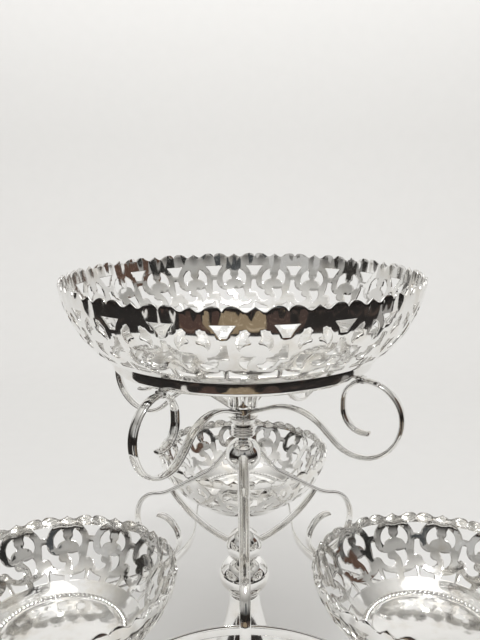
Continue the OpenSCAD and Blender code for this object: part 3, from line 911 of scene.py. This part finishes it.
deselect()
bpy.ops.mesh.primitive_plane_add(size=1)
sweep = begin("paper_sweep")
bpy.ops.transform.resize(value=(SWEEP_W, SWEEP_L, 1), center_override=(0, 0, 0))
bpy.ops.transform.translate(value=(0, COVE_Y - SWEEP_L / 2, -0.0005))
pick(sweep, lambda place: place.y > 0)
bpy.ops.mesh.spin(steps=16, angle=math.radians(COVE_TURN), center=(0, COVE_Y, COVE_R), axis=(-1, 0, 0))
bpy.ops.mesh.extrude_region_move(TRANSFORM_OT_translate={"value": (0, 0.1, 1.4)})
bpy.ops.object.mode_set(mode="OBJECT")
choose(sweep)
bpy.ops.object.shade_smooth()
sweep.data.materials.append(paper_finish("pale_paper", PAPER, 0.75))
print("sweep corners", [tuple(round(value, 2) for value in corner) for corner in sweep.bound_box])

# %% [markdown]
# The dark and brown patches on the rim, the band and the balls are the room in front of the table. A
# dim tray round the foot, open behind, stands in for it: dark low down, grey higher up and white at
# the top. One rounded mat is copied to five mats that lie in front and beside, and to five
# boards that stand further out. Only reflections see them.

# %% Cards
CEILING_GREY = (0.42, 0.415, 0.405, 1)
CEILING_WHITE = (0.95, 0.945, 0.93, 1)
NEVER = 9.0
TRAY_R = 0.37
TRAY_SPREAD = 2.7
TRAY_WALL = 0.9
TRAY_ROOF = 0.5
TRAY_PATCH = 0.25
MAT_PATCH = 0.06


def only_reflected(card):
    """Keeps a card out of sight and out of the light, so that only the silver shows it."""
    card.visible_camera = False
    card.visible_shadow = False
    card.visible_diffuse = False
    print(card.name, "faces", len(card.data.polygons))


def dim_finish(name, dark, light, size, fade=NEVER):
    """A dim surface: two tones in patches of a size, grey above the height fade and white at the top."""
    finish, shader, place = new_finish(name, 0.0)
    height = place.node("ShaderNodeSeparateXYZ", {"Vector": place}, "Z")
    tone = place.noise(1 / size, 2.0).ramp(0.55, 0.75).mix(dark, light)
    grey = height.span(fade, fade + 0.4).mix(tone, CEILING_GREY)
    height.span(0.95, 1.35).mix(grey, CEILING_WHITE).feed(shader, "Base Color")
    shader.inputs["Roughness"].default_value = 0.9
    return finish


deselect()
bpy.ops.mesh.primitive_circle_add(vertices=72, radius=TRAY_R)
tray = begin("dim_room")
bpy.ops.transform.resize(value=(1.15, 1, 1), center_override=(0, 0, 0))
bpy.ops.mesh.extrude_region_move()
bpy.ops.transform.resize(value=(TRAY_SPREAD, TRAY_SPREAD, 1), center_override=(0, 0, 0))
bpy.ops.mesh.extrude_region_move(TRANSFORM_OT_translate={"value": (0, 0, TRAY_WALL)})
bpy.ops.mesh.extrude_region_move(TRANSFORM_OT_translate={"value": (0, 0, TRAY_ROOF)})
bpy.ops.transform.resize(value=(0.5, 0.5, 1), center_override=(0, 0, 0))
pick(tray, lambda place: place.y > 330 and place.z < 10)
bpy.ops.mesh.delete(type="VERT")
bpy.ops.object.mode_set(mode="OBJECT")
tray.data.transform(Matrix.Translation((0, 0, 0.001)))
room_finish = dim_finish("dim_room", (0.012, 0.009, 0.008, 1), (0.07, 0.045, 0.035, 1), TRAY_PATCH, fade=0.25)
tray.data.materials.append(room_finish)
only_reflected(tray)

deselect()
bpy.ops.mesh.primitive_plane_add(size=1)
mat = begin("mat")
bpy.ops.mesh.bevel(offset=0.2, segments=4, affect="VERTICES")
bpy.ops.object.mode_set(mode="OBJECT")
lying = Matrix.Translation((0, -0.69, 0.003)) @ Matrix.Diagonal((1, 0.56, 1, 1))
upright = Matrix.Rotation(math.radians(90), 4, "X")
standing = Matrix.Translation((0, -0.95, 0.55)) @ upright @ Matrix.Diagonal((1, 0.5, 1, 1))
mats = [
    ("tan_mat", -2, lying, 0.30, (0.24, 0.18, 0.11, 1), (0.5, 0.42, 0.3, 1)),
    ("brown_mat_1", -27, lying, 0.16, (0.06, 0.03, 0.022, 1), (0.16, 0.1, 0.07, 1)),
    ("brown_mat_2", 22, lying, 0.17, (0.05, 0.028, 0.022, 1), (0.14, 0.09, 0.065, 1)),
    ("white_mat", -48, lying, 0.06, (0.7, 0.69, 0.67, 1), (0.8, 0.79, 0.77, 1)),
    ("grey_mat", 92, lying, 0.12, (0.3, 0.29, 0.28, 1), (0.45, 0.44, 0.43, 1)),
    ("brown_board", 90, standing, 0.4, (0.09, 0.05, 0.035, 1), (0.2, 0.12, 0.09, 1)),
    ("black_board", 62, standing, 0.3, (0.012, 0.011, 0.01, 1), (0.1, 0.1, 0.1, 1)),
    ("blue_board", 8, standing, 0.25, (0.05, 0.055, 0.06, 1), (0.2, 0.21, 0.22, 1)),
    ("pale_board", -42, standing, 0.5, (0.5, 0.5, 0.5, 1), (0.65, 0.65, 0.64, 1)),
    ("dark_board", -88, standing, 0.25, (0.02, 0.018, 0.016, 1), (0.1, 0.09, 0.08, 1)),
]
for name, around, stance, width, dark, light in mats:
    twin = copy_of(mat, name, turn_z(around) @ stance @ Matrix.Diagonal((width, 1, 1, 1)))
    twin.data.materials.append(dim_finish(name, dark, light, MAT_PATCH))
    only_reflected(twin)
bpy.data.objects.remove(mat)

# %% [markdown]
# The world is bright. A large soft lamp hangs overhead, a long one washes the wall behind, and a small
# one in front gives the sparkle inside the bowl and the baskets.

# %% Lamps
WORLD_COLOUR = (1.0, 0.99, 0.97, 1)
WORLD_STRENGTH = 0.84

world = bpy.data.worlds.new("room_light")
bpy.context.scene.world = world
world.use_nodes = True
world.node_tree.nodes["Background"].inputs["Color"].default_value = WORLD_COLOUR
world.node_tree.nodes["Background"].inputs["Strength"].default_value = WORLD_STRENGTH


def soft_light(name, width, place, aim, power):
    """An oval lamp of a width and a length at a place, aimed at a point."""
    light = bpy.data.lights.new(name, "AREA")
    light.shape = "ELLIPSE"
    light.size = width[0]
    light.size_y = width[1]
    light.energy = power
    lamp = bpy.data.objects.new(name, light)
    bpy.context.scene.collection.objects.link(lamp)
    lamp.location = place
    lamp.rotation_euler = (Vector(aim) - Vector(place)).to_track_quat("-Z", "Y").to_euler()
    print("lamp", name)


soft_light("overhead", (1.4, 1.0), place=(0.1, 0.1, 1.7), aim=(0, 0, 0.1), power=1.6)
soft_light("wall_wash", (3.0, 0.15), place=(0, 1.0, 1.0), aim=(0, 1.4, 0.75), power=1.9)
soft_light("front_lamp", (0.14, 0.14), place=(0.1, -0.5, 1.25), aim=(0, 0.1, 0.2), power=4)
bpy.context.scene.view_settings.view_transform = "Standard"
